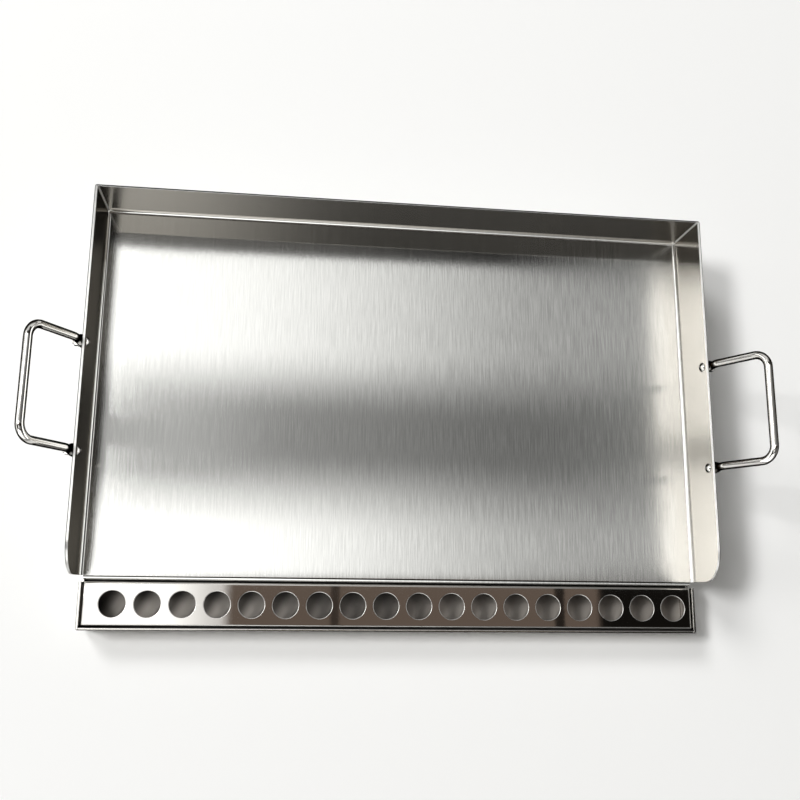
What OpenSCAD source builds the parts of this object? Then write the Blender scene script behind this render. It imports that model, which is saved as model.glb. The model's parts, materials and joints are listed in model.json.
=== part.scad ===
// Camp griddle plate: a folded steel pan on two rails, with a grease trough and strainer in front.
// The origin is on the table under the middle of the whole object, +Y is the back and +Z is up.

/* [Pan] */
// Inside width between the side walls
pan_w = 606; // [460:1:700]
// Inside depth from the back wall to the front bend of the plate
pan_d = 367.2; // [300:0.2:450]
// Height of the walls above the cooking surface
wall_h = 59; // [55:0.5:80]
// Height of the cooking surface above the table
plate_h = 36; // [32:0.5:50]
// Thickness of the pan's sheet
sheet_t = 2.5; // [1.5:0.1:4]
// Inside radius of the bends between the plate and its walls
bend_r = 3.5; // [1:0.5:6]
// Outside radius of the welded corners at the back
corner_r = 3; // [1:0.5:6]
// Radius of the side walls' front top corners
nose_r = 30; // [10:1:45]
// Drop of the front lip below the cooking surface
lip_drop = 12; // [8:0.5:14]
// Inside radius of the lip's bend
lip_bend_r = 1.5; // [0.5:0.25:3]
// Gap between each end of the lip and the bend of the side wall
lip_end_gap = 0.5; // [0.2:0.1:3]

/* [Rails] */
// Distance from the inside of each side wall in to the web of its rail
rail_inset = 113; // [60:1:180]
// Width of the rails' flanges
rail_flange = 25; // [14:0.5:28]
// Thickness of the rails' sheet
rail_t = 2.5; // [1.5:0.1:4]
// Inside radius of the rails' bends
rail_bend_r = 2.5; // [1:0.25:4]
// Distance from the inside of the back wall to the rails' rear ends
rail_setback = 12; // [6:1:60]
// Distance from the trough's front face back to the tips of the rail tongues
tongue_setback = 6; // [2:0.5:20]
// Corner radius of the tongue tips
tongue_r = 8; // [2:0.5:12]
// Height of the cross brace
brace_h = 20; // [10:0.5:24]
// Width of the cross brace's welded leg
brace_leg = 22; // [12:0.5:40]

/* [Trough] */
// Reach of the trough in front of the plate's front bend
trough_reach = 50.6; // [42:0.2:80]
// Distance that the trough reaches back under the plate
trough_tuck = 5.2; // [4:0.2:20]
// Thickness of the trough's sheet
trough_t = 2.4; // [1:0.1:3]
// Inside radius of the trough's bends
trough_bend_r = 2.5; // [1:0.25:5]
// Outside radius of the trough's front corners
trough_corner_r = 2; // [0.5:0.25:2.4]
// Distance that the trough's ends stand out past the side walls' inside faces
trough_over = 0.1; // [-3:0.1:2]
// Running gap between the trough and the rails that carry it
slide_gap = 0.3; // [0.2:0.05:1]
// Clearance between the trough and the lip above it
lip_gap = 2; // [1:0.1:4]

/* [Strainer] */
// Depth of the strainer's top below the trough's rim
strainer_drop = 2.5; // [1:0.1:6]
// Thickness of the strainer's sheet
strainer_t = 1.5; // [0.8:0.1:2.5]
// Height of the strainer's folded edges
strainer_edge = 9; // [6:0.5:12]
// Inside radius of the strainer's folded edges
strainer_bend_r = 0.5; // [0.5:0.25:3]
// Gap along the strainer's long edges
strainer_gap = 1.5; // [1:0.1:5]
// Gap at each end of the strainer
strainer_end_gap = 1.2; // [1.2:0.1:3]
// Distance that the strainer lies pushed to the right from the middle of the trough
strainer_push = 0.4; // [0:0.1:0.8]
// Diameter of the strainer's holes
hole_d = 24.7; // [8:0.1:26]
// Distance between the holes' middles
hole_pitch = 32.5; // [28:0.1:60]
// Least sheet left between the last holes and the ends of the strainer
hole_margin = 6.9; // [4:0.1:20]
// Width of the ledges under the strainer's ends
ledge_w = 7; // [4:0.5:9]
// Thickness of the ledges' sheet
ledge_t = 1.5; // [1:0.1:2.5]
// Height of the ledges' welded leg
ledge_h = 9; // [5:0.5:12]
// Seat gap between the ledges and the strainer
seat_gap = 0.2; // [0.1:0.05:0.5]

/* [Handles] */
// Diameter of the handle rod
rod_d = 8; // [6:0.2:10]
// Distance between the middles of a handle's two arms
handle_span = 103.3; // [80:0.1:140]
// Distance from the pan's middle forward to the handles' middle
handle_shift = 21.3; // [-40:0.1:40]
// Distance from a side wall's outside face to the middle of the grip
grip_reach = 33.5; // [24:0.5:60]
// Height of the grip's middle above the cooking surface
grip_rise = 113; // [100:0.5:140]
// Middle radius of the bends at the grip's ends
grip_bend_r = 14; // [9:0.5:20]
// Middle radius of the bends above the feet
foot_bend_r = 14; // [8:0.5:16]
// Gap between the round rod and the wall above the feet
rod_off = 0.3; // [0.1:0.1:2]
// Width of the flattened feet
foot_w = 12; // [11:0.5:16]
// Thickness of the flattened feet
foot_t = 4; // [3:0.1:5]
// Distance from a washer's edge up to the flare of the foot
flare_gap = 0.5; // [0.2:0.1:3]
// Height of the flare between the flat foot and the round rod
flare_h = 6; // [4:0.5:12]
// Height of the arm's bend above the flare
arm_bend_h = 5; // [4.5:0.1:8]

/* [Fasteners] */
// Height of the handle screws above the cooking surface
screw_rise = 49; // [40:0.5:49]
// Diameter of the handle screws
screw_d = 5; // [4:0.5:6]
// Clearance around the screws in their holes
screw_gap = 0.25; // [0.1:0.05:0.5]
// Clearance around the screws in the nuts
thread_gap = 0.06; // [0.04:0.02:0.1]
// Diameter of the screws' dome heads
head_d = 9.5; // [8:0.1:11]
// Height of the screws' dome heads
head_h = 2.75; // [2:0.05:3.5]
// Width across the flats of the heads' sockets
socket_w = 3; // [2:0.5:4]
// Depth of the heads' sockets
socket_h = 1.5; // [0.8:0.1:1.8]
// Diameter of the washers
washer_d = 10; // [9:0.5:10.5]
// Thickness of the washers
washer_t = 1; // [0.5:0.1:1.5]
// Width across the flats of the nuts
nut_w = 8; // [7.5:0.5:9]
// Thickness of the nuts
nut_t = 4; // [3:0.1:5]
// Length of the screws past the nuts
screw_tail = 1.5; // [0.5:0.1:4]

/* [Hidden] */
$fn = 64;
sides = ["left", "right"];
ends = ["rear", "front"];

// Depth of the whole object and the places of its main faces along Y
whole_d = sheet_t + pan_d + trough_reach;
back_in = whole_d / 2 - sheet_t;
plate_front = back_in - pan_d;
lip_out = plate_front - lip_bend_r - sheet_t;
trough_front = plate_front - trough_reach;
trough_back = plate_front + trough_tuck;
trough_d = trough_back - trough_front;

// Half widths of the pan
wall_in = pan_w / 2;
wall_out = wall_in + sheet_t;
lip_w = pan_w - 2 * bend_r - 2 * lip_end_gap;
rail_x = wall_in - rail_inset;

// Levels
plate_bottom = plate_h - sheet_t;
wall_top = plate_h + wall_h;
lip_bottom = plate_h - lip_drop;
trough_bottom = rail_t + slide_gap;
trough_back_top = lip_bottom - lip_gap;
strainer_top = plate_h - strainer_drop;
ledge_top = strainer_top - strainer_edge - seat_gap;

// Trough and strainer
trough_half = wall_in + trough_over;
channel_half = trough_half - trough_t;
strainer_half = channel_half - strainer_end_gap;
strainer_front = trough_front + trough_t + strainer_gap;
strainer_back = lip_out - strainer_gap;
hole_count = floor((2 * (strainer_half - hole_margin) - hole_d) / hole_pitch) + 1;
last_hole_x = strainer_push + strainer_half - hole_margin - hole_d / 2;
hole_y = (strainer_front + strainer_back) / 2;

// Handles
handle_y = (back_in + plate_front) / 2 - handle_shift;
rod_x = wall_out + rod_off + rod_d / 2;
screw_z = plate_h + screw_rise;
flat_top = screw_z + washer_d / 2 + flare_gap;
flare_top = flat_top + flare_h;
arm_foot_z = flare_top + arm_bend_h;
arm_out = wall_out + grip_reach - rod_x;
arm_up = plate_h + grip_rise - arm_foot_z;
arm_l = sqrt(arm_out * arm_out + arm_up * arm_up);
arm_turn = atan2(arm_out, arm_up);
foot_bend_l = foot_bend_r * tan(arm_turn / 2);
screw_l = sheet_t + foot_t + washer_t + nut_t + screw_tail;
dome_r = (head_h * head_h + head_d * head_d / 4) / (2 * head_h);

// Cut tools reach this far past what they cut
past = 1;

// The rod's bends and flares are a little fuller than the straight rod, which enters them by a lap
bend_swell = 0.06;
rod_lap = 0.3;

// Square with round corners, from its lower left corner
module round_square(w, h, r) {
  translate([r, 0]) square([w - 2 * r, h]);
  translate([0, r]) square([w, h - 2 * r]);
  for (x = [r, w - r], y = [r, h - r])
    translate([x, y]) circle(r = r);
}

// Outline drawn as (x, z), run from y0 to y1
module along_y(y0, y1) {
  translate([0, y1, 0]) rotate([90, 0, 0]) linear_extrude(y1 - y0) children();
}

// Outline drawn as (y, z), run from x0 to x1
module along_x(x0, x1) {
  translate([x0, 0, 0]) rotate([90, 0, 90]) linear_extrude(x1 - x0) children();
}

// Space of the pan, grown outwards by its sheet or not at all
module pan_space(grow, front) {
  half = wall_in + grow;
  r = bend_r + grow;
  floor_z = plate_h - grow;
  back = back_in + grow;
  intersection() {
    along_y(front, back) translate([-half, floor_z]) round_square(2 * half, wall_h + grow + 2 * r, r);
    along_x(-half, half) translate([front - 2 * r, floor_z])
      round_square(back - front + 2 * r, wall_h + grow + 2 * r, r);
  }
}

// Round front top corners of the side walls, as what is cut away
module nose_cut() {
  along_x(-wall_out - past, wall_out + past) difference() {
    translate([plate_front - past, wall_top - nose_r]) square([nose_r + past, nose_r + past]);
    translate([plate_front + nose_r, wall_top - nose_r]) circle(r = nose_r);
  }
}

// Front edge of the plate, folded down
module lip() {
  bend_z = plate_bottom - lip_bend_r;
  along_x(-lip_w / 2, lip_w / 2) {
    intersection() {
      translate([plate_front, bend_z]) difference() {
        circle(r = lip_bend_r + sheet_t);
        circle(r = lip_bend_r);
      }
      translate([lip_out, bend_z]) square([lip_bend_r + sheet_t, lip_bend_r + sheet_t]);
    }
    translate([lip_out, lip_bottom]) square([sheet_t, bend_z - lip_bottom]);
  }
}

// Places its children at one end of one handle, with +Z pointing out through the side wall
module at_screw(side, end) {
  y = handle_y + (end == "rear" ? 1 : -1) * handle_span / 2;
  mirror([side == "left" ? 1 : 0, 0, 0])
    translate([wall_in, y, screw_z]) rotate([0, 90, 0]) children();
}

module griddle_pan() {
  color("silver") {
    difference() {
      intersection() {
        pan_space(sheet_t, plate_front);
        translate([-wall_out, plate_front - 2 * corner_r, 0]) linear_extrude(wall_top)
          round_square(2 * wall_out, back_in + sheet_t - plate_front + 2 * corner_r, corner_r);
      }
      pan_space(0, plate_front - past);
      nose_cut();
      for (side = sides, end = ends) at_screw(side, end)
        translate([0, 0, -past]) cylinder(d = screw_d + 2 * screw_gap, h = sheet_t + 2 * past);
    }
    lip();
  }
}

// Rail of C section under the plate; its lower flange runs on as a tongue under the trough
module rail(side) {
  web_front = trough_back + slide_gap;
  rail_back = back_in - rail_setback;
  tongue_tip = trough_front + tongue_setback;
  bend = rail_bend_r + rail_t;
  color("darkgray") mirror([side == "left" ? 1 : 0, 0, 0]) translate([rail_x, 0, 0]) {
    along_y(web_front, rail_back) intersection() {
      difference() {
        round_square(rail_flange + 2 * bend, plate_bottom, bend);
        translate([rail_t, rail_t])
          round_square(rail_flange + 2 * bend, plate_bottom - 2 * rail_t, rail_bend_r);
      }
      square([rail_flange, plate_bottom]);
    }
    translate([bend, tongue_tip, 0]) linear_extrude(rail_t) intersection() {
      round_square(rail_flange - bend, web_front - tongue_tip + 2 * tongue_r, tongue_r);
      square([rail_flange - bend, web_front - tongue_tip]);
    }
  }
}

// Angle under the plate between the webs of the rails
module cross_brace() {
  color("darkgray") along_x(-rail_x, rail_x) translate([(back_in + plate_front) / 2, plate_bottom]) {
    translate([0, -brace_h]) square([rail_t, brace_h]);
    translate([0, -rail_t]) square([brace_leg, rail_t]);
  }
}

// Outline of the trough as (y, z), drawn in by its sheet or not at all
module trough_outline(inset) {
  r = trough_bend_r + trough_t - inset;
  translate([trough_front + inset, trough_bottom + inset]) intersection() {
    round_square(trough_d - 2 * inset, plate_h + 2 * r, r);
    square([trough_d - 2 * inset, plate_h - trough_bottom - inset]);
  }
}

// Clears the trough's back edge to pass under the lip and the plate
module under_lip() {
  translate([lip_out - lip_gap, trough_back_top])
    square([trough_back - lip_out + lip_gap + past, plate_h - trough_back_top + past]);
}

module trough_channel() {
  color("silver") along_x(-channel_half, channel_half) difference() {
    trough_outline(0);
    trough_outline(trough_t);
    translate([trough_front + trough_t, plate_h - past]) square([trough_d, 2 * past]);
    under_lip();
  }
}

module trough_end(side) {
  color("silver") mirror([side == "left" ? 1 : 0, 0, 0]) intersection() {
    along_x(channel_half, trough_half) difference() {
      trough_outline(0);
      under_lip();
    }
    translate([0, trough_front, 0]) linear_extrude(plate_h)
      round_square(trough_half, trough_d + 2 * trough_corner_r, trough_corner_r);
  }
}

// Small angle welded inside a trough end, under the end of the strainer
module strainer_ledge(side) {
  color("gainsboro") mirror([side == "left" ? 1 : 0, 0, 0]) along_y(strainer_front, strainer_back) {
    translate([channel_half - ledge_w, ledge_top - ledge_t]) square([ledge_w, ledge_t]);
    translate([channel_half - ledge_t, ledge_top - ledge_h]) square([ledge_t, ledge_h]);
  }
}

// Space under the strainer's folded sheet, or the whole of it
module strainer_space(inset) {
  r = strainer_bend_r + strainer_t - inset;
  half = strainer_half - inset;
  y0 = strainer_front + inset;
  y1 = strainer_back - inset;
  deep = strainer_edge - inset;
  intersection() {
    along_y(y0, y1) translate([-half, strainer_top - inset - deep - 2 * r])
      round_square(2 * half, deep + 2 * r, r);
    along_x(-half, half) translate([y0, strainer_top - inset - deep - 2 * r])
      round_square(y1 - y0, deep + 2 * r, r);
  }
}

module strainer() {
  edge_z = strainer_top - strainer_edge;
  color("whitesmoke") difference() {
    translate([strainer_push, 0, 0]) strainer_space(0);
    translate([strainer_push, 0, 0]) strainer_space(strainer_t);
    translate([-wall_out, trough_front, 0]) cube([2 * wall_out, trough_d, edge_z]);
    for (k = [0 : hole_count - 1])
      translate([last_hole_x - k * hole_pitch, hole_y, edge_z]) cylinder(d = hole_d, h = strainer_edge + past);
  }
}

// Rod handle: two flattened feet on the wall, two leaning arms and the grip
module handle(side) {
  color("lightgray") mirror([side == "left" ? 1 : 0, 0, 0]) translate([0, handle_y, 0]) {
    for (end = [-1, 1]) translate([0, end * handle_span / 2, 0]) handle_foot();
    translate([rod_x, 0, arm_foot_z]) rotate([0, arm_turn, 0]) {
      for (end = [0, 1]) mirror([0, end, 0]) {
        translate([0, handle_span / 2, foot_bend_l]) straight_rod(arm_l - foot_bend_l - grip_bend_r);
        translate([0, handle_span / 2 - grip_bend_r, arm_l - grip_bend_r]) rotate([90, 0, 90])
          rod_bend(grip_bend_r, 90);
      }
      translate([0, handle_span / 2 - grip_bend_r, arm_l]) rotate([90, 0, 0])
        straight_rod(handle_span - 2 * grip_bend_r);
    }
  }
}

// Straight stretch of rod that enters the bends at its two ends
module straight_rod(l) {
  translate([0, 0, -rod_lap]) cylinder(d = rod_d, h = l + 2 * rod_lap);
}

module rod_bend(r, turn) {
  rotate_extrude(angle = turn) translate([r, 0]) circle(d = rod_d + bend_swell);
}

// Flat foot with its screw hole, the flare above it and the bend into the arm
module handle_foot() {
  bend_z = arm_foot_z - foot_bend_l;
  difference() {
    along_x(wall_out, wall_out + foot_t) {
      translate([0, screw_z]) circle(d = foot_w);
      translate([-foot_w / 2, screw_z]) square([foot_w, flat_top - screw_z]);
    }
    translate([wall_out - past, 0, screw_z]) rotate([0, 90, 0])
      cylinder(d = screw_d + 2 * screw_gap, h = foot_t + 2 * past);
  }
  intersection() {
    translate([rod_x, 0, flat_top - rod_lap])
      cylinder(d1 = foot_w, d2 = rod_d + bend_swell, h = flare_h + rod_lap);
    along_y(-foot_w / 2, foot_w / 2) polygon([
      [wall_out, flat_top - rod_lap],
      [wall_out + foot_t, flat_top - rod_lap],
      [wall_out + foot_t, flat_top],
      [rod_x + rod_d / 2 + past, flare_top],
      [wall_out, flare_top]
    ]);
  }
  translate([rod_x, 0, flare_top]) straight_rod(bend_z - flare_top);
  translate([rod_x + foot_bend_r, 0, bend_z]) rotate([90, 0, 0]) rotate([0, 0, 180 - arm_turn])
    rod_bend(foot_bend_r, arm_turn);
}

// Dome-head screw from inside the pan, with a six-sided socket
module handle_screw(side, end) {
  color("gainsboro") at_screw(side, end) difference() {
    union() {
      intersection() {
        translate([0, 0, dome_r - head_h]) sphere(r = dome_r);
        translate([0, 0, -head_h]) cylinder(d = head_d + past, h = head_h);
      }
      cylinder(d = screw_d, h = screw_l);
    }
    translate([0, 0, -head_h - past]) cylinder(d = socket_w / cos(30), h = socket_h + past, $fn = 6);
  }
}

module handle_washer(side, end) {
  color("gainsboro") at_screw(side, end) translate([0, 0, sheet_t + foot_t]) difference() {
    cylinder(d = washer_d, h = washer_t);
    translate([0, 0, -past]) cylinder(d = screw_d + 2 * screw_gap, h = washer_t + 2 * past);
  }
}

module handle_nut(side, end) {
  color("gainsboro") at_screw(side, end) translate([0, 0, sheet_t + foot_t + washer_t]) difference() {
    cylinder(d = nut_w / cos(30), h = nut_t, $fn = 6);
    translate([0, 0, -past]) cylinder(d = screw_d + 2 * thread_gap, h = nut_t + 2 * past);
  }
}

griddle_pan();
cross_brace();
trough_channel();
strainer();
for (side = sides) {
  rail(side);
  trough_end(side);
  strainer_ledge(side);
  handle(side);
  for (end = ends) {
    handle_screw(side, end);
    handle_washer(side, end);
    handle_nut(side, end);
  }
}
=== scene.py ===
import json
from math import atan2, cos, hypot, pi, radians, sin, tan
import bmesh
import bpy
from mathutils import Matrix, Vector

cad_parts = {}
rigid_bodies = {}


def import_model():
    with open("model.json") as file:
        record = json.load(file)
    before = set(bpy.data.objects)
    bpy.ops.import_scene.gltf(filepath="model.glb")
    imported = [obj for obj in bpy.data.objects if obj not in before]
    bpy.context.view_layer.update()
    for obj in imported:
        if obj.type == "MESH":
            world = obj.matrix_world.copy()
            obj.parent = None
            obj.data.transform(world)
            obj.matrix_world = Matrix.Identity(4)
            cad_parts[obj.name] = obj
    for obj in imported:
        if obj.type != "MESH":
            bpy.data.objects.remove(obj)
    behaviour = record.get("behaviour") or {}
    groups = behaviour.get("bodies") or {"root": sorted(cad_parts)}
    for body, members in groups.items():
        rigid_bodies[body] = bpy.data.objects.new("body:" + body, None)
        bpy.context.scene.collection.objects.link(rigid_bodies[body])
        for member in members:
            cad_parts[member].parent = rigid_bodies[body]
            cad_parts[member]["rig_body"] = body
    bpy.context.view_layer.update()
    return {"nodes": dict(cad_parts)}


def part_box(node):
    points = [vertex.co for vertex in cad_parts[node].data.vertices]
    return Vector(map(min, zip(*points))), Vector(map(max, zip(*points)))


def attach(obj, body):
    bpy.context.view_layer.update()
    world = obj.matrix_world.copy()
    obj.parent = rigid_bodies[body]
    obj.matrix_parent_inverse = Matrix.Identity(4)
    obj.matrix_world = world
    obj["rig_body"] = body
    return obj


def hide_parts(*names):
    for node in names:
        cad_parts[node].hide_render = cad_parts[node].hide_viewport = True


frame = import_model()
print("stage: frame loaded")

# Small helpers for node trees


def feed(tree, socket, value):
    if isinstance(value, bpy.types.NodeSocket):
        tree.links.new(value, socket)
    else:
        socket.default_value = value


def addNode(tree, kind, **sockets):
    node = tree.nodes.new(kind)
    for name, value in sockets.items():
        feed(tree, node.inputs[name], value)
    return node


def calc(tree, operation, first, second=0.0, kind="ShaderNodeMath"):
    node = tree.nodes.new(kind)
    node.operation = operation
    feed(tree, node.inputs[0], first)
    feed(tree, node.inputs[1], second)
    return node.outputs[0]


def vectorCalc(tree, operation, first, second):
    return calc(tree, operation, first, second, "ShaderNodeVectorMath")


def absolute(tree, value):
    return calc(tree, "ABSOLUTE", value)


def inverse(tree, value):
    return calc(tree, "SUBTRACT", 1.0, value)


def product(tree, first, *others):
    for other in others:
        first = calc(tree, "MULTIPLY", first, other)
    return first


def largest(tree, first, *others):
    for other in others:
        first = calc(tree, "MAXIMUM", first, other)
    return first


def ease(tree, value, start, end):
    ends = {"From Min": start, "From Max": end}
    node = addNode(tree, "ShaderNodeMapRange", Value=value, **ends)
    node.interpolation_type = "SMOOTHSTEP"
    return node.outputs["Result"]


def stretch(tree, value, low, high):
    ends = {"To Min": low, "To Max": high}
    return addNode(tree, "ShaderNodeMapRange", Value=value, **ends).outputs["Result"]


def mixColour(tree, amount, first, second):
    node = tree.nodes.new("ShaderNodeMix")
    node.data_type = "RGBA"
    sockets = {socket.identifier: socket for socket in node.inputs}
    feed(tree, sockets["Factor_Float"], amount)
    feed(tree, sockets["A_Color"], first)
    feed(tree, sockets["B_Color"], second)
    return next(s for s in node.outputs if s.identifier == "Result_Color")


def axesOf(tree, vector):
    return addNode(tree, "ShaderNodeSeparateXYZ", Vector=vector).outputs


def newMaterial(name):
    material = bpy.data.materials.new(name)
    material.use_nodes = True
    material.node_tree.nodes.clear()
    return material, material.node_tree


def finishMaterial(tree, shader):
    output = tree.nodes.new("ShaderNodeOutputMaterial")
    tree.links.new(shader.outputs[0], output.inputs["Surface"])


# Row of holes in the strainer; its spacing also places the painted light and painted
# shade on the trough floor under it

holes = {
    "count": 18,
    "pitch": 0.0325,
    "lastX": 0.28065,  # middle of the hole on the far right
    "y": -0.18565,
    "radius": 0.01235,
    "sides": 64,
    "punchDepth": 0.012,
    "longestSide": 0.12,  # share of the radius, to find the rims again
}

# Looks of the steels: a pair is where a mask starts and ends, in metres or as a share

brushing = {
    "noiseDetail": 4.0,
    "noiseRoughness": 0.7,
    "wallStreaks": (0.35, 0.65),
    "tone": (0.3, 0.7),
    "midTone": 0.5,
    "leftFade": (-0.2, 0.12),
    "rightFade": (0.3, 0.2),
}
polishing = {
    "wideDetail": 2.0,
    "fineDetail": 3.0,
    "leastRough": 0.6,
    "mostRough": 1.4,
}
outlining = {
    "flatFace": (0.97, 0.85),
    "facingUp": (-0.05, 0.05),
    "toRight": (0.0, 0.1),
}
bumpDepth = 0.0005

panLook = {
    "colour": (0.67, 0.67, 0.655, 1),
    "shade": (0.47, 0.47, 0.457, 1),
    "roughness": 0.075,
    "roughnessSpread": 0.03,
    "anisotropic": 1.0,
    "streakWidth": 0.001,
    "streakLength": 0.035,
    "endContrast": 0.3,
    "bump": 0.06,
    "wornRoughness": 0.12,  # added towards the right of the plate
    "wornX": (0.08, 0.3),
    # painted shade: the inner walls get a darker colour and a darker low-angle reflection
    # than the plate, standing in for the dark room they reflect
    "wall": (0.5, 0.48, 0.45, 1),
    "wallRoughness": 0.12,
    "wallTint": (0.2, 0.19, 0.175, 1),  # keeps the walls dark at a low angle
    "wallFacing": (0.7, 0.3),
    "betweenSides": (0.3044, 0.304),
    "beforeBack": (0.209, 0.2086),
    # lighter, rougher top edges and back-corner welds: partly the cut edge and ground
    # weld, partly painted highlight
    "rim": (0.86, 0.855, 0.84, 1),
    "rimRoughness": 0.45,
    "rimFacing": (0.8, 0.5),
    "overWall": (0.3028, 0.3032),
    "inCorner": (0.3014, 0.3018),
    "atBack": (0.2062, 0.2066),
    "overBend": (0.04, 0.041),
    # painted shade: dark lines along the outer edges and a thin dark line on the front
    # lip
    "outline": (0.06, 0.056, 0.052, 1),
    "outlineX": (0.3047, 0.3051),
    "outlineY": (0.20775, 0.20815),
    "outlineSide": 1.0,
    "outlineZ": (0.08, 0.088),
    "lipNear": (-0.15965, -0.15985),
    "lipFar": (-0.16115, -0.16075),
}
frameLook = {
    "colour": (0.56, 0.55, 0.53, 1),
    "shade": (0.48, 0.47, 0.45, 1),
    "roughness": 0.36,
    "roughnessSpread": 0.05,
    "anisotropic": 0.5,
    "streakWidth": 0.0013,
    "streakLength": 0.035,
    "endContrast": 0.3,
    "bump": 0.05,
}
troughLook = {
    "colour": (0.62, 0.605, 0.58, 1),
    "shade": (0.56, 0.545, 0.52, 1),
    "roughness": 0.14,
    "wideScale": 30.0,
    "fineScale": 900.0,
    "bump": 0.02,
    # painted light and painted shade inside the trough: a lit and a shaded side under
    # each hole, dimmer in the middle, darker to the left, near black away from the row of
    # holes
    "inside": (0.4, 0.366, 0.332, 1),
    "insideShade": (0.17, 0.147, 0.128, 1),
    "insideDeep": (0.06, 0.052, 0.045, 1),
    "insideRoughness": 0.42,
    "insideMetal": 0.2,
    "seam": (0.03, 0.028, 0.026, 1),
    "behindRim": (-0.2081, -0.2079),
    "aboveFloor": (0.001, 0.0015),
    "betweenEnds": (0.3007, 0.3005),
    "underRow": (0.0185, 0.0165),
    "onFloor": (0.012, 0.008),
    "slant": 0.6,
    "seenScale": 0.9702,  # the floor as the camera sees it through the holes
    "seenX": 0.26785,
    "lightStart": (0.22, 0.64),
    "lightEnd": (1.0, 0.84),
    "wallLight": 0.4,
    "middleLight": 0.35,
    "middleLeft": (-0.15, -0.05),
    "middleRight": (0.07, 0.01),
    "deepX": (0.06, -0.02),
    # painted shade: dark lines along the trough's outer edges
    "outline": (0.06, 0.056, 0.052, 1),
    "outlineX": (0.3023, 0.3027),
    "outlineY": (0.20905, 0.20945),
    "outlineSide": -1.0,
    "outlineZ": (0.03, 0.038),
}
strainerLook = {
    "colour": (0.69, 0.675, 0.65, 1),
    "shade": (0.65, 0.635, 0.61, 1),
    "roughness": 0.025,
    "wideScale": 18.0,
    "fineScale": 240.0,
    "bump": 0.004,
    "rim": (0.6, 0.59, 0.57, 1),
    "rimRoughness": 0.28,
    "rimTop": (0.995, 0.97),
    "rimSide": (0.05, 0.2),
}
handleLook = {
    "colour": (0.76, 0.745, 0.72, 1),
    "shade": (0.7, 0.685, 0.66, 1),
    "roughness": 0.045,
    "wideScale": 40.0,
    "fineScale": 240.0,
    "bump": 0.004,
    # painted shade: base colour and reflection go dark where the rod turns away from the
    # view, a little less on the arms
    "edge": (0.03, 0.026, 0.022, 1),
    "edgeBlend": 0.5,
    "edgeFacing": (0.2, 0.36),
    "armLift": 0.14,
    "armOuter": (-0.336, -0.331),
    "armInner": (0.0, -0.1),
}
# the fasteners share the handles' painted dark edges
fastenerLook = dict(handleLook, roughness=0.07, wideScale=90.0)

# Steel materials


def innerWalls(tree, spot, facing, look):
    upright = ease(tree, absolute(tree, facing["Z"]), *look["wallFacing"])
    betweenSides = ease(tree, absolute(tree, spot["X"]), *look["betweenSides"])
    beforeBack = ease(tree, spot["Y"], *look["beforeBack"])
    return product(tree, betweenSides, beforeBack, upright)


# Lighter, rougher top edges of the walls and welds in the back corners: partly the
# sheet's cut edge and ground weld, partly painted highlight
def rimAndWeldHighlights(tree, spot, facing, look):
    fromMiddle = absolute(tree, spot["X"])
    overWall = ease(tree, fromMiddle, *look["overWall"])
    onTop = ease(tree, absolute(tree, facing["X"]), *look["rimFacing"])
    inCorner = ease(tree, fromMiddle, *look["inCorner"])
    atBack = ease(tree, spot["Y"], *look["atBack"])
    overBend = ease(tree, spot["Z"], *look["overBend"])
    weld = product(tree, atBack, overBend, inCorner)
    return largest(tree, product(tree, overWall, onTop), weld)


# Painted shade: dark lines along the side edges, along the back edge of the pan or the
# front edge of the trough, and along the pan's front lip
def paintedEdgeShade(tree, spot, facing, look):
    toward = calc(tree, "MULTIPLY", spot["Y"], look["outlineSide"])
    rows = (("X", absolute(tree, spot["X"])), ("Y", toward))
    masks = {}
    for axis, value in rows:
        outside = ease(tree, value, *look["outline" + axis])
        flatFace = absolute(tree, facing[axis])
        notFlat = ease(tree, flatFace, *outlining["flatFace"])
        masks[axis] = product(tree, outside, notFlat)
    toRight = ease(tree, spot["X"], *outlining["toRight"])
    raised = ease(tree, spot["Z"], *look["outlineZ"])
    sides = product(tree, masks["X"], largest(tree, toRight, raised))
    facingUp = ease(tree, facing["Z"], *outlining["facingUp"])
    edges = product(tree, largest(tree, sides, masks["Y"]), facingUp)
    if "lipNear" in look:
        lipNear = ease(tree, spot["Y"], *look["lipNear"])
        lipFar = ease(tree, spot["Y"], *look["lipFar"])
        edges = largest(tree, edges, product(tree, lipNear, lipFar))
    return edges


def streakLines(tree, place, sideways, look):
    fine = 1 / look["streakWidth"]
    long = 1 / look["streakLength"]
    grain = {
        "Scale": 1.0,
        "Detail": brushing["noiseDetail"],
        "Roughness": brushing["noiseRoughness"],
    }
    lines = []
    for scale in ((fine, long, long), (long, long, fine)):
        turned = addNode(tree, "ShaderNodeMapping", Vector=place, Scale=scale)
        spread = turned.outputs[0]
        noise = addNode(tree, "ShaderNodeTexNoise", Vector=spread, **grain)
        lines.append(noise.outputs[0])
    flatLines = product(tree, lines[0], inverse(tree, sideways))
    upright = stretch(tree, lines[1], *brushing["wallStreaks"])
    return calc(tree, "ADD", flatLines, product(tree, upright, sideways))


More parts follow.
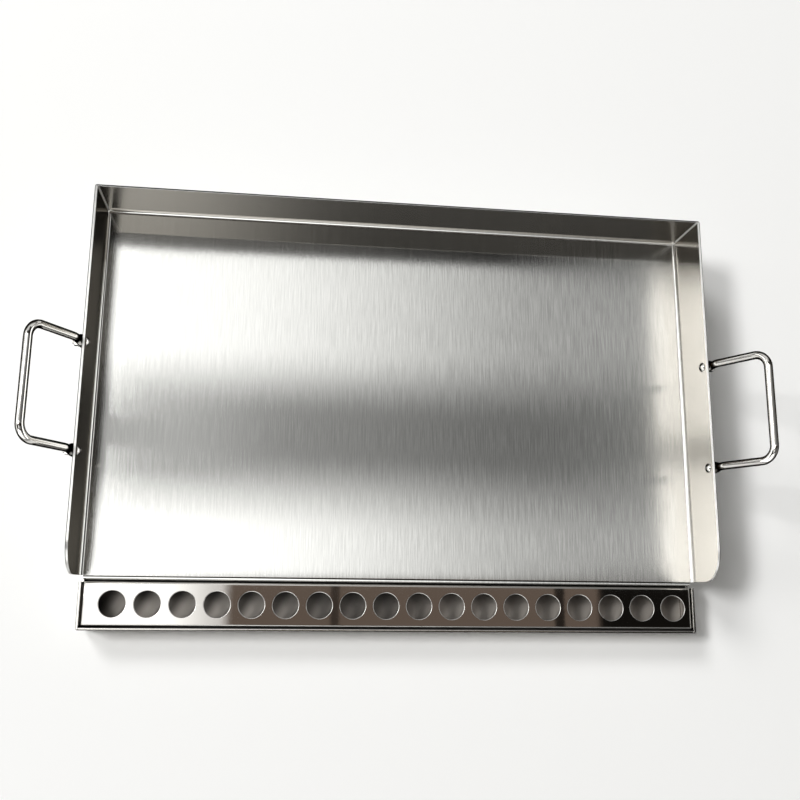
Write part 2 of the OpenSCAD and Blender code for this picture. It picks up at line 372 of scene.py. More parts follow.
def brushedSteel(name, look):
    material, tree = newMaterial(name)
    place = tree.nodes.new("ShaderNodeTexCoord").outputs["Object"]
    normal = tree.nodes.new("ShaderNodeNewGeometry").outputs["Normal"]
    spot = axesOf(tree, place)
    facing = axesOf(tree, normal)
    sideways = absolute(tree, facing["X"])
    streaks = streakLines(tree, place, sideways, look)
    fromLeft = ease(tree, spot["X"], *brushing["leftFade"])
    fromRight = ease(tree, spot["X"], *brushing["rightFade"])
    middle = product(tree, fromLeft, fromRight)
    contrast = stretch(tree, middle, look["endContrast"], 1.0)
    tone = ease(tree, streaks, *brushing["tone"])
    tone = calc(tree, "SUBTRACT", tone, brushing["midTone"])
    tone = product(tree, tone, contrast)
    tone = calc(tree, "ADD", tone, brushing["midTone"])
    colour = mixColour(tree, tone, look["shade"], look["colour"])
    low = look["roughness"] - look["roughnessSpread"]
    high = look["roughness"] + look["roughnessSpread"]
    rough = stretch(tree, streaks, low, high)
    grazingShade = (1, 1, 1, 1)
    if "wall" in look:
        walls = innerWalls(tree, spot, facing, look)
        onPlate = stretch(tree, walls, look["wornRoughness"], 0.0)
        worn = product(tree, ease(tree, spot["X"], *look["wornX"]), onPlate)
        rough = calc(tree, "ADD", rough, worn)
        # painted shade: darker colour and darker low-angle reflection on the inner walls
        colour = mixColour(tree, walls, colour, look["wall"])
        grazingShade = mixColour(tree, walls, grazingShade, look["wallTint"])
        rough = largest(tree, rough, product(tree, walls, look["wallRoughness"]))
        # partly painted highlight: lighter, rougher top edges and corner welds
        edges = rimAndWeldHighlights(tree, spot, facing, look)
        colour = mixColour(tree, edges, colour, look["rim"])
        rough = largest(tree, rough, product(tree, edges, look["rimRoughness"]))
        # painted shade: dark lines along the outer edges
        outline = paintedEdgeShade(tree, spot, facing, look)
        colour = mixColour(tree, outline, colour, look["outline"])
        grazingShade = mixColour(tree, outline, grazingShade, look["outline"])
    height = {"Strength": look["bump"], "Distance": bumpDepth, "Height": streaks}
    bump = addNode(tree, "ShaderNodeBump", **height)
    lean = vectorCalc(tree, "MULTIPLY", normal, facing["X"])
    flat = vectorCalc(tree, "SUBTRACT", (1, 0, 0), lean)
    up = vectorCalc(tree, "MULTIPLY", (0, 0, 1), sideways)
    sockets = {
        "Base Color": colour,
        "Roughness": rough,
        "Metallic": 1.0,
        "Specular Tint": grazingShade,
        "Anisotropic": look["anisotropic"],
        "Normal": bump.outputs[0],
        "Tangent": vectorCalc(tree, "ADD", flat, up),
    }
    finishMaterial(tree, addNode(tree, "ShaderNodeBsdfPrincipled", **sockets))
    return material


# Painted light and painted shade on the trough's inside: under each hole a lit side and a
# shaded side, dimmed in the middle, darker to the left, and near black outside the row of
# holes
def troughPaintedLight(tree, spot, look):
    behindRim = ease(tree, spot["Y"], *look["behindRim"])
    aboveFloor = ease(tree, spot["Z"], *look["aboveFloor"])
    betweenEnds = ease(tree, absolute(tree, spot["X"]), *look["betweenEnds"])
    inside = product(tree, aboveFloor, betweenEnds, behindRim)
    fromRow = calc(tree, "SUBTRACT", spot["Y"], holes["y"])
    underRow = ease(tree, absolute(tree, fromRow), *look["underRow"])
    seen = product(tree, spot["X"], look["seenScale"])
    fromHole = calc(tree, "SUBTRACT", seen, look["seenX"])
    fromHole = calc(tree, "SUBTRACT", fromHole, product(tree, fromRow, look["slant"]))
    acrossHole = calc(tree, "FRACT", calc(tree, "DIVIDE", fromHole, holes["pitch"]))
    lightStart = ease(tree, acrossHole, *look["lightStart"])
    lightEnd = ease(tree, acrossHole, *look["lightEnd"])
    fromLeft = ease(tree, spot["X"], *look["middleLeft"])
    fromRight = ease(tree, spot["X"], *look["middleRight"])
    middle = product(tree, fromLeft, fromRight)
    dimmed = stretch(tree, middle, 1.0, look["middleLight"])
    light = product(tree, lightStart, lightEnd, dimmed)
    onFloor = ease(tree, spot["Z"], *look["onFloor"])
    light = stretch(tree, onFloor, look["wallLight"], light)
    deepShade = product(tree, onFloor, ease(tree, spot["X"], *look["deepX"]))
    shade = mixColour(tree, deepShade, look["insideShade"], look["insideDeep"])
    colour = mixColour(tree, light, shade, look["inside"])
    return inside, mixColour(tree, underRow, look["seam"], colour)


def polishedSteel(name, look):
    material, tree = newMaterial(name)
    place = tree.nodes.new("ShaderNodeTexCoord").outputs["Object"]
    normal = tree.nodes.new("ShaderNodeNewGeometry").outputs["Normal"]
    spot = axesOf(tree, place)
    facing = axesOf(tree, normal)
    noises = []
    for size in ("wide", "fine"):
        grain = {"Scale": look[size + "Scale"], "Detail": polishing[size + "Detail"]}
        noise = addNode(tree, "ShaderNodeTexNoise", Vector=place, **grain)
        noises.append(noise.outputs[0])
    wide, fine = noises
    colour = mixColour(tree, wide, look["shade"], look["colour"])
    low = look["roughness"] * polishing["leastRough"]
    high = look["roughness"] * polishing["mostRough"]
    rough = stretch(tree, fine, low, high)
    metal = 1.0
    if "inside" in look:
        # painted light and painted shade inside the trough
        inside, insideColour = troughPaintedLight(tree, spot, look)
        colour = mixColour(tree, inside, colour, insideColour)
        rough = largest(tree, rough, product(tree, inside, look["insideRoughness"]))
        metal = stretch(tree, inside, 1.0, look["insideMetal"])
        # painted shade: dark lines along the outer edges
        outline = paintedEdgeShade(tree, spot, facing, look)
        colour = mixColour(tree, outline, colour, look["outline"])
    # painted shade: darker where the surface turns away from the view
    if "edge" in look:
        weight = addNode(tree, "ShaderNodeLayerWeight", Blend=look["edgeBlend"])
        armOuter = ease(tree, spot["X"], *look["armOuter"])
        armInner = ease(tree, spot["X"], *look["armInner"])
        lift = product(tree, armOuter, armInner, look["armLift"])
        turned = calc(tree, "SUBTRACT", weight.outputs["Facing"], lift)
        turned = ease(tree, turned, *look["edgeFacing"])
        colour = mixColour(tree, turned, colour, look["edge"])
    if "rim" in look:
        rimTop = ease(tree, facing["Z"], *look["rimTop"])
        rimSide = ease(tree, facing["Z"], *look["rimSide"])
        rim = product(tree, rimTop, rimSide)
        colour = mixColour(tree, rim, colour, look["rim"])
        rough = largest(tree, rough, product(tree, rim, look["rimRoughness"]))
    height = {"Strength": look["bump"], "Distance": bumpDepth, "Height": fine}
    bump = addNode(tree, "ShaderNodeBump", **height)
    sockets = {
        "Base Color": colour,
        "Roughness": rough,
        "Metallic": metal,
        "Normal": bump.outputs[0],
    }
    # painted shade: darker reflection at a low angle
    if "edge" in look:
        sockets["Specular Tint"] = look["edge"]
    finishMaterial(tree, addNode(tree, "ShaderNodeBsdfPrincipled", **sockets))
    return material


materials = {
    "pan_steel": brushedSteel("panSteel", panLook),
    "frame_steel": brushedSteel("frameSteel", frameLook),
    "trough_steel": polishedSteel("troughSteel", troughLook),
    "strainer_steel": polishedSteel("strainerSteel", strainerLook),
    "handle_steel": polishedSteel("handleSteel", handleLook),
    "fastener_steel": polishedSteel("fastenerSteel", fastenerLook),
}

# The first word found in a node's name decides its slot
slotWords = {
    "ledge": "trough_steel",
    "screw": "fastener_steel",
    "washer": "fastener_steel",
    "nut": "fastener_steel",
    "pan": "pan_steel",
    "rail": "frame_steel",
    "brace": "frame_steel",
    "trough": "trough_steel",
    "strainer": "strainer_steel",
    "handle": "handle_steel",
}


def slotFor(name):
    return next(slot for word, slot in slotWords.items() if word in name)


for name, node in frame["nodes"].items():
    node.data.materials.clear()
    node.data.materials.append(materials[slotFor(name)])
print("stage: materials")

# Modelling helpers

modelling = {
    "near": 1e-5,
    "merge": 1e-6,
    "lastMerge": 2e-6,
    "flatShare": 0.9,
    "roundProfile": 0.5,
    "edgeSteps": 3,
    "edgeAngle": 40,
    "smoothAngle": 38,
    "normalWeight": 100,
    "dissolveAngle": 0.5,
}


def onlySelect(piece):
    bpy.ops.object.select_all(action="DESELECT")
    piece.select_set(True)
    bpy.context.view_layer.objects.active = piece


def near(value, target):
    return abs(value - target) < modelling["near"]


def bothEnds(edge, test):
    return all(test(vert.co) for vert in edge.verts)


def pick(piece, kind, test, flush=False):
    bpy.ops.mesh.select_mode(type=kind)
    bpy.ops.mesh.select_all(action="DESELECT")
    mesh = bmesh.from_edit_mesh(piece.data)
    for item in mesh.verts if kind == "VERT" else mesh.edges:
        item.select = test(item)
    if flush:
        mesh.select_flush_mode()
    bmesh.update_edit_mesh(piece.data)


def pickPoints(piece, test):
    pick(piece, "VERT", lambda vert: test(vert.co), flush=True)


def pickEdges(piece, test):
    pick(piece, "EDGE", lambda edge: bothEnds(edge, test), flush=True)


def startSheet(x0, x1, y0, y1, z):
    bpy.ops.object.select_all(action="DESELECT")
    bpy.ops.mesh.primitive_plane_add(size=1, location=(0, 0, 0))
    bpy.ops.object.mode_set(mode="EDIT")
    bpy.ops.transform.resize(value=(x1 - x0, y1 - y0, 1))
    bpy.ops.transform.translate(value=((x0 + x1) / 2, (y0 + y1) / 2, z))
    return bpy.context.object


def pull(offset):
    bpy.ops.mesh.extrude_region_move(TRANSFORM_OT_translate={"value": offset})


def bevelPicked(radius, steps, affect="EDGES"):
    bpy.ops.mesh.bevel(
        offset=radius,
        offset_type="OFFSET",
        segments=steps,
        profile=modelling["roundProfile"],
        affect=affect,
    )


def roundEdges(piece, test, radius, steps):
    pickEdges(piece, test)
    bevelPicked(radius, steps)


def mergeAll(distance):
    bpy.ops.mesh.select_all(action="SELECT")
    bpy.ops.mesh.remove_doubles(threshold=distance)


def cleanMesh(distance):
    mergeAll(distance)
    bpy.ops.mesh.normals_make_consistent(inside=False)


# Turns the sheet over where no large face looks up (side 1) or down (side -1)
def evenNormals(piece, side, area):
    cleanMesh(modelling["merge"])
    mesh = bmesh.from_edit_mesh(piece.data)
    mesh.normal_update()
    large = [face for face in mesh.faces if face.calc_area() > area]
    if not any(side * face.normal.z > modelling["flatShare"] for face in large):
        bpy.ops.mesh.select_all(action="SELECT")
        bpy.ops.mesh.flip_normals()


def applyModifier(piece, kind, **values):
    onlySelect(piece)
    bpy.ops.object.modifier_add(type=kind)
    modifier = piece.modifiers[-1]
    for name, value in values.items():
        setattr(modifier, name, value)
    bpy.ops.object.modifier_apply(modifier=modifier.name)


def giveThickness(piece, thickness):
    bpy.ops.object.mode_set(mode="OBJECT")
    values = {"thickness": thickness, "offset": -1, "use_even_offset": True}
    applyModifier(piece, "SOLIDIFY", **values)


def softenEdges(piece, width):
    values = {
        "width": width,
        "segments": modelling["edgeSteps"],
        "limit_method": "ANGLE",
        "angle_limit": radians(modelling["edgeAngle"]),
        "use_clamp_overlap": True,
    }
    applyModifier(piece, "BEVEL", **values)


def mirroredCopy(piece):
    onlySelect(piece)
    bpy.ops.object.duplicate()
    copy = bpy.context.object
    bpy.ops.object.mode_set(mode="EDIT")
    bpy.ops.mesh.select_all(action="SELECT")
    bpy.ops.transform.resize(value=(-1, 1, 1), center_override=(0, 0, 0))
    bpy.ops.mesh.normals_make_consistent(inside=False)
    bpy.ops.object.mode_set(mode="OBJECT")
    return copy


def finishPiece(piece, name, slot, body, *nodes):
    onlySelect(piece)
    bpy.ops.object.mode_set(mode="EDIT")
    cleanMesh(modelling["lastMerge"])
    bpy.ops.object.mode_set(mode="OBJECT")
    bpy.ops.object.shade_smooth_by_angle(angle=radians(modelling["smoothAngle"]))
    weight = modelling["normalWeight"]
    values = {"mode": "FACE_AREA", "weight": weight, "keep_sharp": True}
    applyModifier(piece, "WEIGHTED_NORMAL", **values)
    piece.name = name
    piece.data.name = name
    piece.data.materials.clear()
    piece.data.materials.append(materials[slot])
    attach(piece, body)
    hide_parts(*nodes)


# Pan: floor and three walls folded from one sheet, front edge folded down

panSize = {
    "sheet": 0.0025,
    "bend": 0.0035,
    "bendSteps": 8,
    "lipReach": 0.004,
    "lipDrop": 0.012,
    "lipSteps": 6,
    "nose": 0.03,  # round front corners of the side walls
    "noseSteps": 20,
    "corner": 0.003,
    "cornerSteps": 5,
    "weld": 0.0012,
    "weldSteps": 4,
    "edge": 0.0005,
    "plateArea": 0.1,  # only the plate is larger
}


def makePan(size):
    low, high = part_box("griddle_pan")
    half = high.x - size["sheet"]
    back = high.y - size["sheet"]
    front = low.y + size["lipReach"]
    floorZ = low.z + size["lipDrop"]
    top = high.z

    def atFront(point):
        return near(point.y, front)

    def onFloor(point):
        return near(point.z, floorZ)

    def isBend(edge):
        return bothEnds(edge, onFloor) and not bothEnds(edge, atFront)

    def isLip(point):
        return near(point.y, front - size["lipReach"]) and onFloor(point)

    def isCorner(point, x, y):
        return near(abs(point.x), x) and near(point.y, y)

    pan = startSheet(-half, half, front, back, floorZ)
    pick(pan, "EDGE", lambda edge: not bothEnds(edge, atFront))
    pull((0, 0, top - floorZ))
    pick(pan, "EDGE", isBend)
    bevelPicked(size["bend"], size["bendSteps"])
    pickPoints(pan, lambda p: atFront(p) and near(p.z, top))
    bevelPicked(size["nose"], size["noseSteps"], "VERTICES")
    pickEdges(pan, lambda p: atFront(p) and onFloor(p))
    pull((0, -size["lipReach"], 0))
    pull((0, 0, -size["lipDrop"]))
    roundEdges(pan, isLip, size["lipReach"], size["lipSteps"])
    evenNormals(pan, 1, size["plateArea"])
    giveThickness(pan, size["sheet"])
    bpy.ops.object.mode_set(mode="EDIT")
    outX = half + size["sheet"]
    outY = back + size["sheet"]
    weldSize = (size["weld"], size["weldSteps"])
    cornerSize = (size["corner"], size["cornerSteps"])
    roundEdges(pan, lambda p: isCorner(p, half, back), *weldSize)
    roundEdges(pan, lambda p: isCorner(p, outX, outY), *cornerSize)
    bpy.ops.object.mode_set(mode="OBJECT")
    softenEdges(pan, size["edge"])
    finishPiece(pan, "pan", "pan_steel", "griddle", "griddle_pan")


makePan(panSize)
print("stage: pan")

# Strainer: lid with four folded edges and a row of round holes

strainerSize = {
    "sheet": 0.0015,
    "bend": 0.002,
    "bendSteps": 6,
    "rim": 0.0007,
    "rimSteps": 4,
    "edge": 0.0002,
    "lidArea": 0.01,  # only the lid is larger
}


def makeStrainer(size):
    low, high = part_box("strainer")

    def onTop(point):
        return near(point.z, high.z)

    def isHoleRim(edge):
        short = edge.calc_length() < holes["longestSide"] * holes["radius"]
        return short and bothEnds(edge, onTop)

    lid = startSheet(low.x, high.x, low.y, high.y, high.z)
    pick(lid, "EDGE", lambda edge: True)
    drop = {"value": (0, 0, low.z - high.z)}
    bpy.ops.mesh.extrude_edges_move(TRANSFORM_OT_translate=drop)
    mergeAll(modelling["merge"])
    roundEdges(lid, onTop, size["bend"], size["bendSteps"])
    evenNormals(lid, 1, size["lidArea"])
    giveThickness(lid, size["sheet"])
    for k in range(holes["count"]):
        bpy.ops.object.select_all(action="DESELECT")
        bpy.ops.mesh.primitive_cylinder_add(
            vertices=holes["sides"],
            radius=holes["radius"],
            depth=holes["punchDepth"],
            location=(holes["lastX"] - k * holes["pitch"], holes["y"], high.z),
        )
        punch = bpy.context.object
        values = {"operation": "DIFFERENCE", "object": punch, "solver": "EXACT"}
        applyModifier(lid, "BOOLEAN", **values)
        bpy.data.objects.remove(punch)
    bpy.ops.object.mode_set(mode="EDIT")
    pick(lid, "EDGE", isHoleRim)
    bevelPicked(size["rim"], size["rimSteps"])
    bpy.ops.object.mode_set(mode="OBJECT")
    softenEdges(lid, size["edge"])
    finishPiece(lid, "strainerLid", "strainer_steel", "strainer", "strainer")


makeStrainer(strainerSize)
print("stage: strainer")

# Trough: folded channel and its two end plates

troughSize = {
    "sheet": 0.0024,
    "bend": 0.0049,
    "bendSteps": 8,
    "corner": 0.002,
    "cornerSteps": 4,
    "step": 0.002,  # room in front of the pan's lip
    "rearTop": 0.022,
    "edge": 0.0005,
    "floorArea": 0.01,  # the floor is larger
}


def makeChannel(size):
    low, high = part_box("trough_channel")

    def isBend(edge):
        first, second = (vert.co for vert in edge.verts)
        level = near(first.z, low.z) and near(second.z, low.z)
        return level and near(first.y, second.y)

    channel = startSheet(low.x, high.x, low.y, high.y, low.z)
    pickEdges(channel, lambda p: near(p.y, low.y))
    pull((0, 0, high.z - low.z))
    pickEdges(channel, lambda p: near(p.y, high.y))
    pull((0, 0, size["rearTop"] - low.z))
    pick(channel, "EDGE", isBend)
    bevelPicked(size["bend"], size["bendSteps"])
    evenNormals(channel, -1, size["floorArea"])
    giveThickness(channel, size["sheet"])
    softenEdges(channel, size["edge"])
    finishPiece(channel, "channel", "trough_steel", "trough", "trough_channel")


def makeTroughEnd(size):
    low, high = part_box("trough_end_left")
    rearTop = size["rearTop"]
    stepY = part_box("griddle_pan")[0].y - size["step"]

    def isFrontTop(point):
        return near(point.z, rearTop) and point.y < stepY + modelling["near"]

    def isFoot(point):
        atEnd = near(point.y, low.y) or near(point.y, high.y)
        return atEnd and near(point.z, low.z)

    def isFrontCorner(point):
        return near(point.x, low.x) and near(point.y, low.y)

    end = startSheet(low.z, rearTop, low.y, stepY, -high.x)
    turn = {"orient_axis": "Y", "center_override": (0, 0, 0)}
    bpy.ops.transform.rotate(value=pi / 2, **turn)
    pickEdges(end, lambda p: near(p.y, stepY))
    pull((0, high.y - stepY, 0))
    pickEdges(end, isFrontTop)
    pull((0, 0, high.z - rearTop))
    pickPoints(end, isFoot)
    bevelPicked(size["bend"], size["bendSteps"], "VERTICES")
    bpy.ops.mesh.select_all(action="SELECT")
    pull((low.x - high.x, 0, 0))
    bpy.ops.mesh.select_all(action="SELECT")
    bpy.ops.mesh.normals_make_consistent(inside=False)
    roundEdges(end, isFrontCorner, size["corner"], size["cornerSteps"])
    bpy.ops.object.mode_set(mode="OBJECT")
    softenEdges(end, size["edge"])
    return end


makeChannel(troughSize)
leftEnd = makeTroughEnd(troughSize)
rightEnd = mirroredCopy(leftEnd)
finishPiece(leftEnd, "troughEndLeft", "trough_steel", "trough", "trough_end_left")
finishPiece(rightEnd, "troughEndRight", "trough_steel", "trough", "trough_end_right")
print("stage: trough")

# Handles: bent rods with flattened feet

handleSize = {
    "rod": 0.004,  # radius
    "rodSides": 32,
    "rodX": 0.3098,
    "wallX": 0.3055,
    "centreY": 0.00275,
    "halfSpan": 0.05165,
    "flareTop": 0.0965,
    "flareSteps": 3,
    "flatTop": 0.0905,
    "screwZ": 0.085,
    "footHalf": 0.006,
    "footThick": 0.004,
    "footAngles": (18, 36, 54, 70, 82),  # rings of the round end
    "bendStart": 0.1015,
    "bendSteps": 10,
    "gripX": 0.339,
    "gripZ": 0.149,
    "gripSteps": 16,
    "bend": 0.014,
}


def between(start, end, share):
    return start + (end - start) * share


def clampRing(piece, level, x0, x1):
    for test, x in ((lambda p: p.x < x0, x0), (lambda p: p.x > x1, x1)):
        pickPoints(piece, lambda p: near(p.z, level) and test(p))
        bpy.ops.transform.resize(value=(0, 1, 1), center_override=(x, 0, 0))
    pickPoints(piece, lambda p: near(p.z, level))


def widenRing(size, factor):
    middle = (0, size["halfSpan"], 0)
    bpy.ops.transform.resize(value=(1, factor, 1), center_override=middle)


def bendRod(size):
    outward = size["gripX"] - size["rodX"]
    upward = size["gripZ"] - size["bendStart"]
    turn = atan2(outward, upward)
    armLength = hypot(outward, upward)
    bendLength = size["bend"] * tan(turn / 2)
    bendZ = size["bendStart"] - bendLength
    circle = {"vertices": size["rodSides"], "radius": size["rod"]}
    bpy.ops.object.select_all(action="DESELECT")
    bpy.ops.mesh.primitive_circle_add(
        fill_type="NOTHING", location=(0, 0, 0), **circle
    )
    rod = bpy.context.object
    bpy.ops.object.mode_set(mode="EDIT")
    start = (size["rodX"], size["halfSpan"], size["flareTop"])
    bpy.ops.transform.translate(value=start)
    bpy.ops.mesh.select_mode(type="VERT")
    pull((0, 0, bendZ - size["flareTop"]))
    bpy.ops.mesh.spin(
        steps=size["bendSteps"],
        angle=-turn,
        center=(size["rodX"] + size["bend"], size["halfSpan"], bendZ),
        axis=(0, 1, 0),
    )
    run = armLength - bendLength - size["bend"]
    pull((run * sin(turn), 0, run * cos(turn)))
    reach = armLength - size["bend"]
    endX = size["rodX"] + reach * sin(turn)
    endZ = size["bendStart"] + reach * cos(turn)
    bpy.ops.mesh.spin(
        steps=size["gripSteps"],
        angle=-pi / 2,
        center=(endX, size["halfSpan"] - size["bend"], endZ),
        axis=(cos(turn), 0, -sin(turn)),
    )
    pull((0, size["bend"] - size["halfSpan"], 0))
    return rod


def flattenFoot(rod, size):
    steps = size["flareSteps"]
    level = size["flareTop"]
    drop = (size["flareTop"] - size["flatTop"]) / steps
    footX = size["wallX"] + size["footThick"] / 2
    shift = (size["rodX"] - footX) / steps
    widen = (size["footHalf"] / size["rod"]) ** (1 / steps)
    inX = size["rodX"] - size["rod"]
    outX = size["rodX"] + size["rod"]
    pickPoints(rod, lambda p: near(p.z, size["flareTop"]))
    for k in range(1, steps + 1):
        pull((-shift, 0, -drop))
        level = level - drop
        widenRing(size, widen)
        x0 = between(inX, size["wallX"], k / steps)
        x1 = between(outX, size["wallX"] + size["footThick"], k / steps)
        clampRing(rod, level, x0, x1)
    pull((0, 0, size["screwZ"] - size["flatTop"]))
    before = 0.0
    for angle in size["footAngles"]:
        now = radians(angle)
        pull((0, 0, -size["footHalf"] * (sin(now) - sin(before))))
        widenRing(size, cos(now) / cos(before))
        before = now
    bpy.ops.mesh.edge_face_add()
    bpy.ops.object.mode_set(mode="OBJECT")


def makeHandle(size):
    rod = bendRod(size)
    flattenFoot(rod, size)
    values = {"use_axis": (False, True, False), "use_clip": True}
    values["merge_threshold"] = modelling["near"]
    applyModifier(rod, "MIRROR", **values)
    bpy.ops.object.mode_set(mode="EDIT")
    cleanMesh(modelling["merge"])
    bpy.ops.transform.translate(value=(0, size["centreY"], 0))
    bpy.ops.object.mode_set(mode="OBJECT")
    return rod


rightRod = makeHandle(handleSize)
leftRod = mirroredCopy(rightRod)
finishPiece(rightRod, "handleRight", "handle_steel", "griddle", "handle_right")
finishPiece(leftRod, "handleLeft", "handle_steel", "griddle", "handle_left")
print("stage: handles")

# Rails, brace, ledges and fasteners: softened copies of the plain parts

softParts = {
    "rail": 0.0005,
    "brace": 0.0004,
    "ledge": 0.0002,
    "screw": 0.00015,
    "washer": 0.0002,
    "nut": 0.0003,
}


def softCopy(node, width):
    onlySelect(node)
    bpy.ops.object.duplicate()
    copy = bpy.context.object
    copy.parent = None
    for key in list(copy.keys()):
        if key.startswith("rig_"):
            del copy[key]
    bpy.ops.object.mode_set(mode="EDIT")
    mergeAll(modelling["merge"])
    flatAngle = radians(modelling["dissolveAngle"])
    bpy.ops.mesh.dissolve_limited(angle_limit=flatAngle)
    bpy.ops.mesh.normals_make_consistent(inside=False)
    bpy.ops.object.mode_set(mode="OBJECT")
    softenEdges(copy, width)
    return copy


def camelName(name):
    first, *rest = name.split("_")
    return first + "".join(word.capitalize() for word in rest)


for name, node in list(frame["nodes"].items()):
    kind = next((k for k in softParts if k in name), None)
    if kind:
        body = node["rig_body"]
        copy = softCopy(node, softParts[kind])
        finishPiece(copy, camelName(name), slotFor(name), body, name)
print("stage: soft copies")

# Studio floor

studio = {
    "floorSize": 12.0,
    "floorColour": (0.95, 0.95, 0.94, 1),
    "white": (1.0, 1.0, 0.985, 1),
    "brown": (0.155, 0.118, 0.095, 1),
    "grey": (0.14, 0.14, 0.137, 1),
    "lowSky": (0.05, 0.047, 0.044, 1),
    "horizon": (0.32, 0.32, 0.312, 1),
    "dark": (0.008, 0.007, 0.006, 1),
    "backDark": (0.02, 0.019, 0.018, 1),
    "backGlow": (0.22, 0.212, 0.2, 1),
    "front": (0.05, 0.045, 0.04, 1),
    "level": 1.84,  # brightness of the panels
    "floorShare": 0.87,  # of the room's light on matt things
}

bpy.ops.object.select_all(action="DESELECT")
bpy.ops.mesh.primitive_plane_add(size=studio["floorSize"], location=(0, 0, 0))
floor = bpy.context.object
floor.name = "floor"
floorMaterial, floorTree = newMaterial("floorPaper")
floorShader = addNode(floorTree, "ShaderNodeBsdfDiffuse", Color=studio["floorColour"])
finishMaterial(floorTree, floorShader)
floor.data.materials.append(floorMaterial)

# Light from the room: each pair is where an edge starts and ends, as a slope from upright

skyEdges = {
    "high": (1.75, 1.0),
    "horizon": (1.9, 3.2),
    "behindCamera": (-0.05, -0.2),
    "front": (0.016, 0.03),
    "back": (0.384, 0.377),
    "bandFront": (0.075, 0.158),
    "bandBack": (0.278, 0.196),
    "leftBandFront": (0.065, 0.135),
    "leftBandSide": (-0.7, -0.35),
    "panelRight": (-0.046, -0.061),
    "panelLeft": (-0.75, -0.6),
    "panelFade": (-0.05, -0.13),
    "overheadNear": (0.3, -0.16),
    "overheadFar": (0.7, -0.1),
    "overheadFront": (0.1, 0.06),
    "keyRight": (-0.66, -0.72),
    "keyLeft": (-1.25, -0.85),
    "keyFront": (-0.3, -0.1),
    "keyBack": (1.2, 0.7),
    "glowFront": (0.6, 0.8),
    "glowBack": (2.2, 1.3),
    "glowRight": (0.6, 0.0),
    "thinBarLeft": (0.053, 0.056),
    "thinBarRight": (0.065, 0.062),
    "wideBarLeft": (0.295, 0.298),
    "wideBarRight": (0.309, 0.306),
    "darkRight": (0.341, 0.351),
    "farShade": (0.3, -0.25),
}
skyShares = {
    "band": 0.8,
    "leftBand": 0.66,
    "panelFade": 0.4,
    "overheadNear": 0.5,
    "overheadFar": 0.5,
    "overheadFront": 1.2,
    "key": 1.5,
    "glow": 0.35,
    "thinBar": 0.7,
    "wideBar": 0.9,
}
lowestHeight = 0.02

world = bpy.data.worlds.new("studio")
bpy.context.scene.world = world
world.use_nodes = True
sky = world.node_tree
sky.nodes.clear()
direction = sky.nodes.new("ShaderNodeTexCoord").outputs["Generated"]
axes = axesOf(sky, direction)
height = largest(sky, axes["Z"], lowestHeight)
across = calc(sky, "DIVIDE", axes["X"], height)
along = calc(sky, "DIVIDE", axes["Y"], height)
acrossSquare = product(sky, across, across)
alongSquare = product(sky, along, along)
lean = calc(sky, "SQRT", calc(sky, "ADD", acrossSquare, alongSquare))


def edge(value, name):
    return ease(sky, value, *skyEdges[name])


high = edge(lean, "high")
behindCamera = edge(along, "behindCamera")
front = edge(along, "front")
back = edge(along, "back")
bandBack = edge(along, "bandBack")
band = product(sky, edge(along, "bandFront"), bandBack, skyShares["band"])
leftBand = product(
    sky,
    edge(along, "leftBandFront"),
    bandBack,
    edge(across, "leftBandSide"),
    skyShares["leftBand"],
)
panelFade = stretch(sky, edge(across, "panelFade"), skyShares["panelFade"], 1.0)
leftPanel = product(
    sky,
    edge(across, "panelRight"),
    edge(across, "panelLeft"),
    inverse(sky, behindCamera),
    back,
    largest(sky, panelFade, front),
    inverse(sky, leftBand),
)
nearShare = product(sky, edge(across, "overheadNear"), skyShares["overheadNear"])
farShare = product(sky, edge(across, "overheadFar"), skyShares["overheadFar"])
overhead = product(
    sky,
    front,
    back,
    calc(sky, "ADD", nearShare, farShare),
    stretch(sky, edge(along, "overheadFront"), 1.0, skyShares["overheadFront"]),
    inverse(sky, band),
)
keyPanel = product(
    sky,
    edge(across, "keyRight"),
    edge(across, "keyLeft"),
    edge(along, "keyFront"),
    edge(along, "keyBack"),
    skyShares["key"],
)
backLight = product(
    sky,
    edge(along, "glowFront"),
    edge(along, "glowBack"),
    edge(across, "glowRight"),
    skyShares["glow"],
)
panels = largest(sky, leftPanel, overhead, keyPanel, backLight)
bars = edge(across, "darkRight")
for bar in ("thinBar", "wideBar"):
    sides = (edge(across, bar + "Left"), edge(across, bar + "Right"))
    bars = largest(sky, bars, product(sky, *sides, skyShares[bar]))
shade = mixColour(sky, bars, studio["brown"], studio["dark"])
shade = mixColour(sky, front, shade, studio["grey"])
shade = mixColour(sky, behindCamera, shade, studio["front"])
toLeft = edge(across, "farShade")
farShade = mixColour(sky, toLeft, studio["backDark"], studio["backGlow"])
shade = mixColour(sky, inverse(sky, back), shade, farShade)
toHorizon = edge(lean, "horizon")
horizon = mixColour(sky, toHorizon, studio["lowSky"], studio["horizon"])
shade = mixColour(sky, high, horizon, shade)
panelLevel = product(sky, panels, studio["level"])
lit = vectorCalc(sky, "MULTIPLY", studio["white"][:3], panelLevel)
gaps = inverse(sky, calc(sky, "MINIMUM", panels, 1.0))
unlit = vectorCalc(sky, "MULTIPLY", shade, gaps)
skyColour = vectorCalc(sky, "ADD", lit, unlit)
rays = sky.nodes.new("ShaderNodeLightPath")
strength = stretch(sky, rays.outputs["Is Diffuse Ray"], 1.0, studio["floorShare"])
skyLight = addNode(sky, "ShaderNodeBackground", Color=skyColour, Strength=strength)
backdrop = addNode(sky, "ShaderNodeBackground", Color=studio["floorColour"], Strength=1.0)
seen = sky.nodes.new("ShaderNodeMixShader")
sky.links.new(rays.outputs["Is Camera Ray"], seen.inputs[0])
sky.links.new(skyLight.outputs[0], seen.inputs[1])
sky.links.new(backdrop.outputs[0], seen.inputs[2])
skyOutput = sky.nodes.new("ShaderNodeOutputWorld")
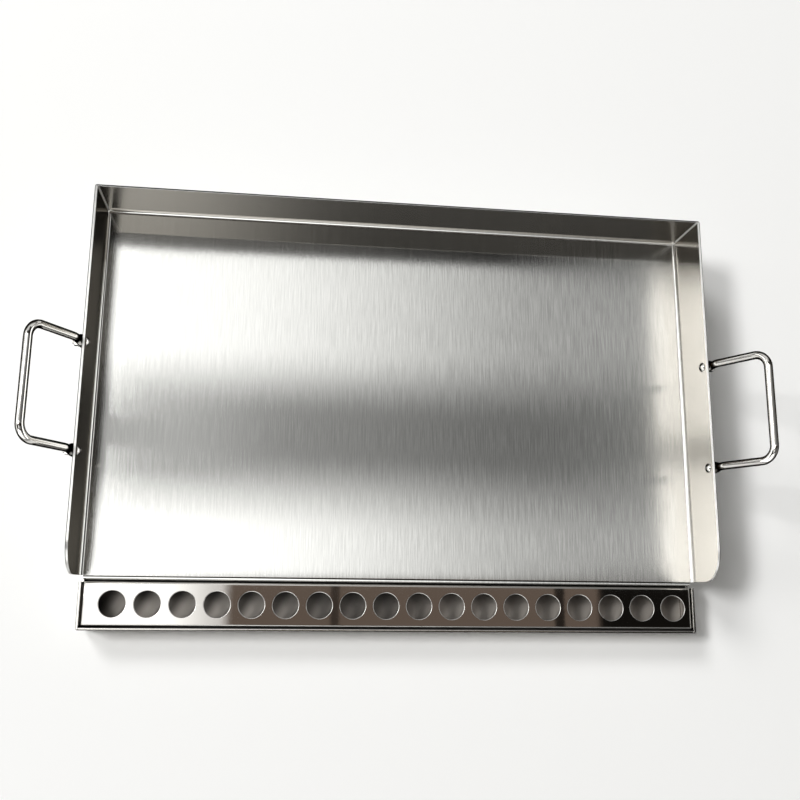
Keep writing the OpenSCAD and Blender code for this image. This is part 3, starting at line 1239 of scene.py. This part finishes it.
sky.links.new(seen.outputs[0], skyOutput.inputs["Surface"])

# Lamps for the floor, and cards that only the steel reflects

lamps = {
    "sideLamp": {"place": (-4.89, 1.1, 6.0), "size": (1.8, 1.1), "power": 298.0},
    "backLamp": {"place": (-4.3, 4.9, 6.0), "size": (2.5, 2.5), "power": 284.0},
}
lampTarget = Vector((0.3, -0.15, 0.0))


def makeLamp(name, lamp):
    data = bpy.data.lights.new(name, "AREA")
    data.shape = "RECTANGLE"
    data.size, data.size_y = lamp["size"]
    data.energy = lamp["power"]
    light = bpy.data.objects.new(name, data)
    light.location = lamp["place"]
    toTarget = lampTarget - light.location
    light.rotation_euler = toTarget.to_track_quat("-Z", "Y").to_euler()
    light.visible_glossy = False
    bpy.context.scene.collection.objects.link(light)


for name, lamp in lamps.items():
    makeLamp(name, lamp)

# A card's brightness goes from left to right of it, over the fade
cards = {
    "frontCard": {
        "place": (-0.4, -3.0, 2.6),
        "size": (6.0, 4.0),
        "turn": (90, 0, 0),
        "bright": (2.4, 0.6),
        "fade": (0.0, 0.35),
    },
    "wallCard": {
        "place": (0.4, -1.1, 3.0),
        "size": (3.0, 0.8),
        "turn": (0, 0, 0),
        "bright": (1.75, 0.22),
        "fade": (-0.42, -0.1),
    },
    "upperCard": {
        "place": (-1.53, 0.95, 3.0),
        "size": (1.0, 0.76),
        "turn": (0, 0, 0),
        "bright": (7.8, 7.8),
    },
    "lowerCard": {
        "place": (-1.53, 0.125, 3.0),
        "size": (1.0, 0.63),
        "turn": (0, 0, 0),
        "bright": (7.8, 7.8),
    },
    "backCard": {
        "place": (0.6, 3.0, 1.4),
        "size": (5.0, 1.6),
        "turn": (90, 0, 0),
        "bright": (0.8, 0.8),
    },
    "leftCard": {
        "place": (-3.0, 0.0, 0.95),
        "size": (4.0, 1.3),
        "turn": (90, 0, 90),
        "bright": (2.2, 2.2),
    },
    "rightCard": {
        "place": (3.0, 0.0, 0.95),
        "size": (4.0, 1.3),
        "turn": (90, 0, 90),
        "bright": (2.2, 2.2),
    },
}


def makeCard(name, card):
    turn = [radians(angle) for angle in card["turn"]]
    bpy.ops.object.select_all(action="DESELECT")
    bpy.ops.mesh.primitive_plane_add(size=1, location=card["place"], rotation=turn)
    sheet = bpy.context.object
    sheet.name = name
    sheet.scale = (*card["size"], 1)
    material, tree = newMaterial(name)
    bright = card["bright"][0]
    if "fade" in card:
        place = tree.nodes.new("ShaderNodeTexCoord").outputs["Object"]
        toRight = ease(tree, axesOf(tree, place)["X"], *card["fade"])
        bright = stretch(tree, toRight, *card["bright"])
    light = {"Color": studio["white"], "Strength": bright}
    finishMaterial(tree, addNode(tree, "ShaderNodeEmission", **light))
    sheet.data.materials.append(material)
    sheet.visible_camera = False
    sheet.visible_diffuse = False
    sheet.visible_shadow = False


for name, card in cards.items():
    makeCard(name, card)

# Camera at the photograph's place

cameraPlace = {
    "location": (-0.116187, -0.181443, 0.956419),
    "turn": (12.1825, -7.2832, 0.5062),
    "lens": 41.818,
    "sensor": 36,
}

cameraData = bpy.data.cameras.new("camera")
cameraData.lens = cameraPlace["lens"]
cameraData.sensor_width = cameraPlace["sensor"]
camera = bpy.data.objects.new("camera", cameraData)
camera.location = cameraPlace["location"]
camera.rotation_euler = [radians(angle) for angle in cameraPlace["turn"]]
bpy.context.scene.collection.objects.link(camera)
bpy.context.scene.camera = camera
bpy.context.scene.view_settings.view_transform = "Standard"
print("stage: studio")
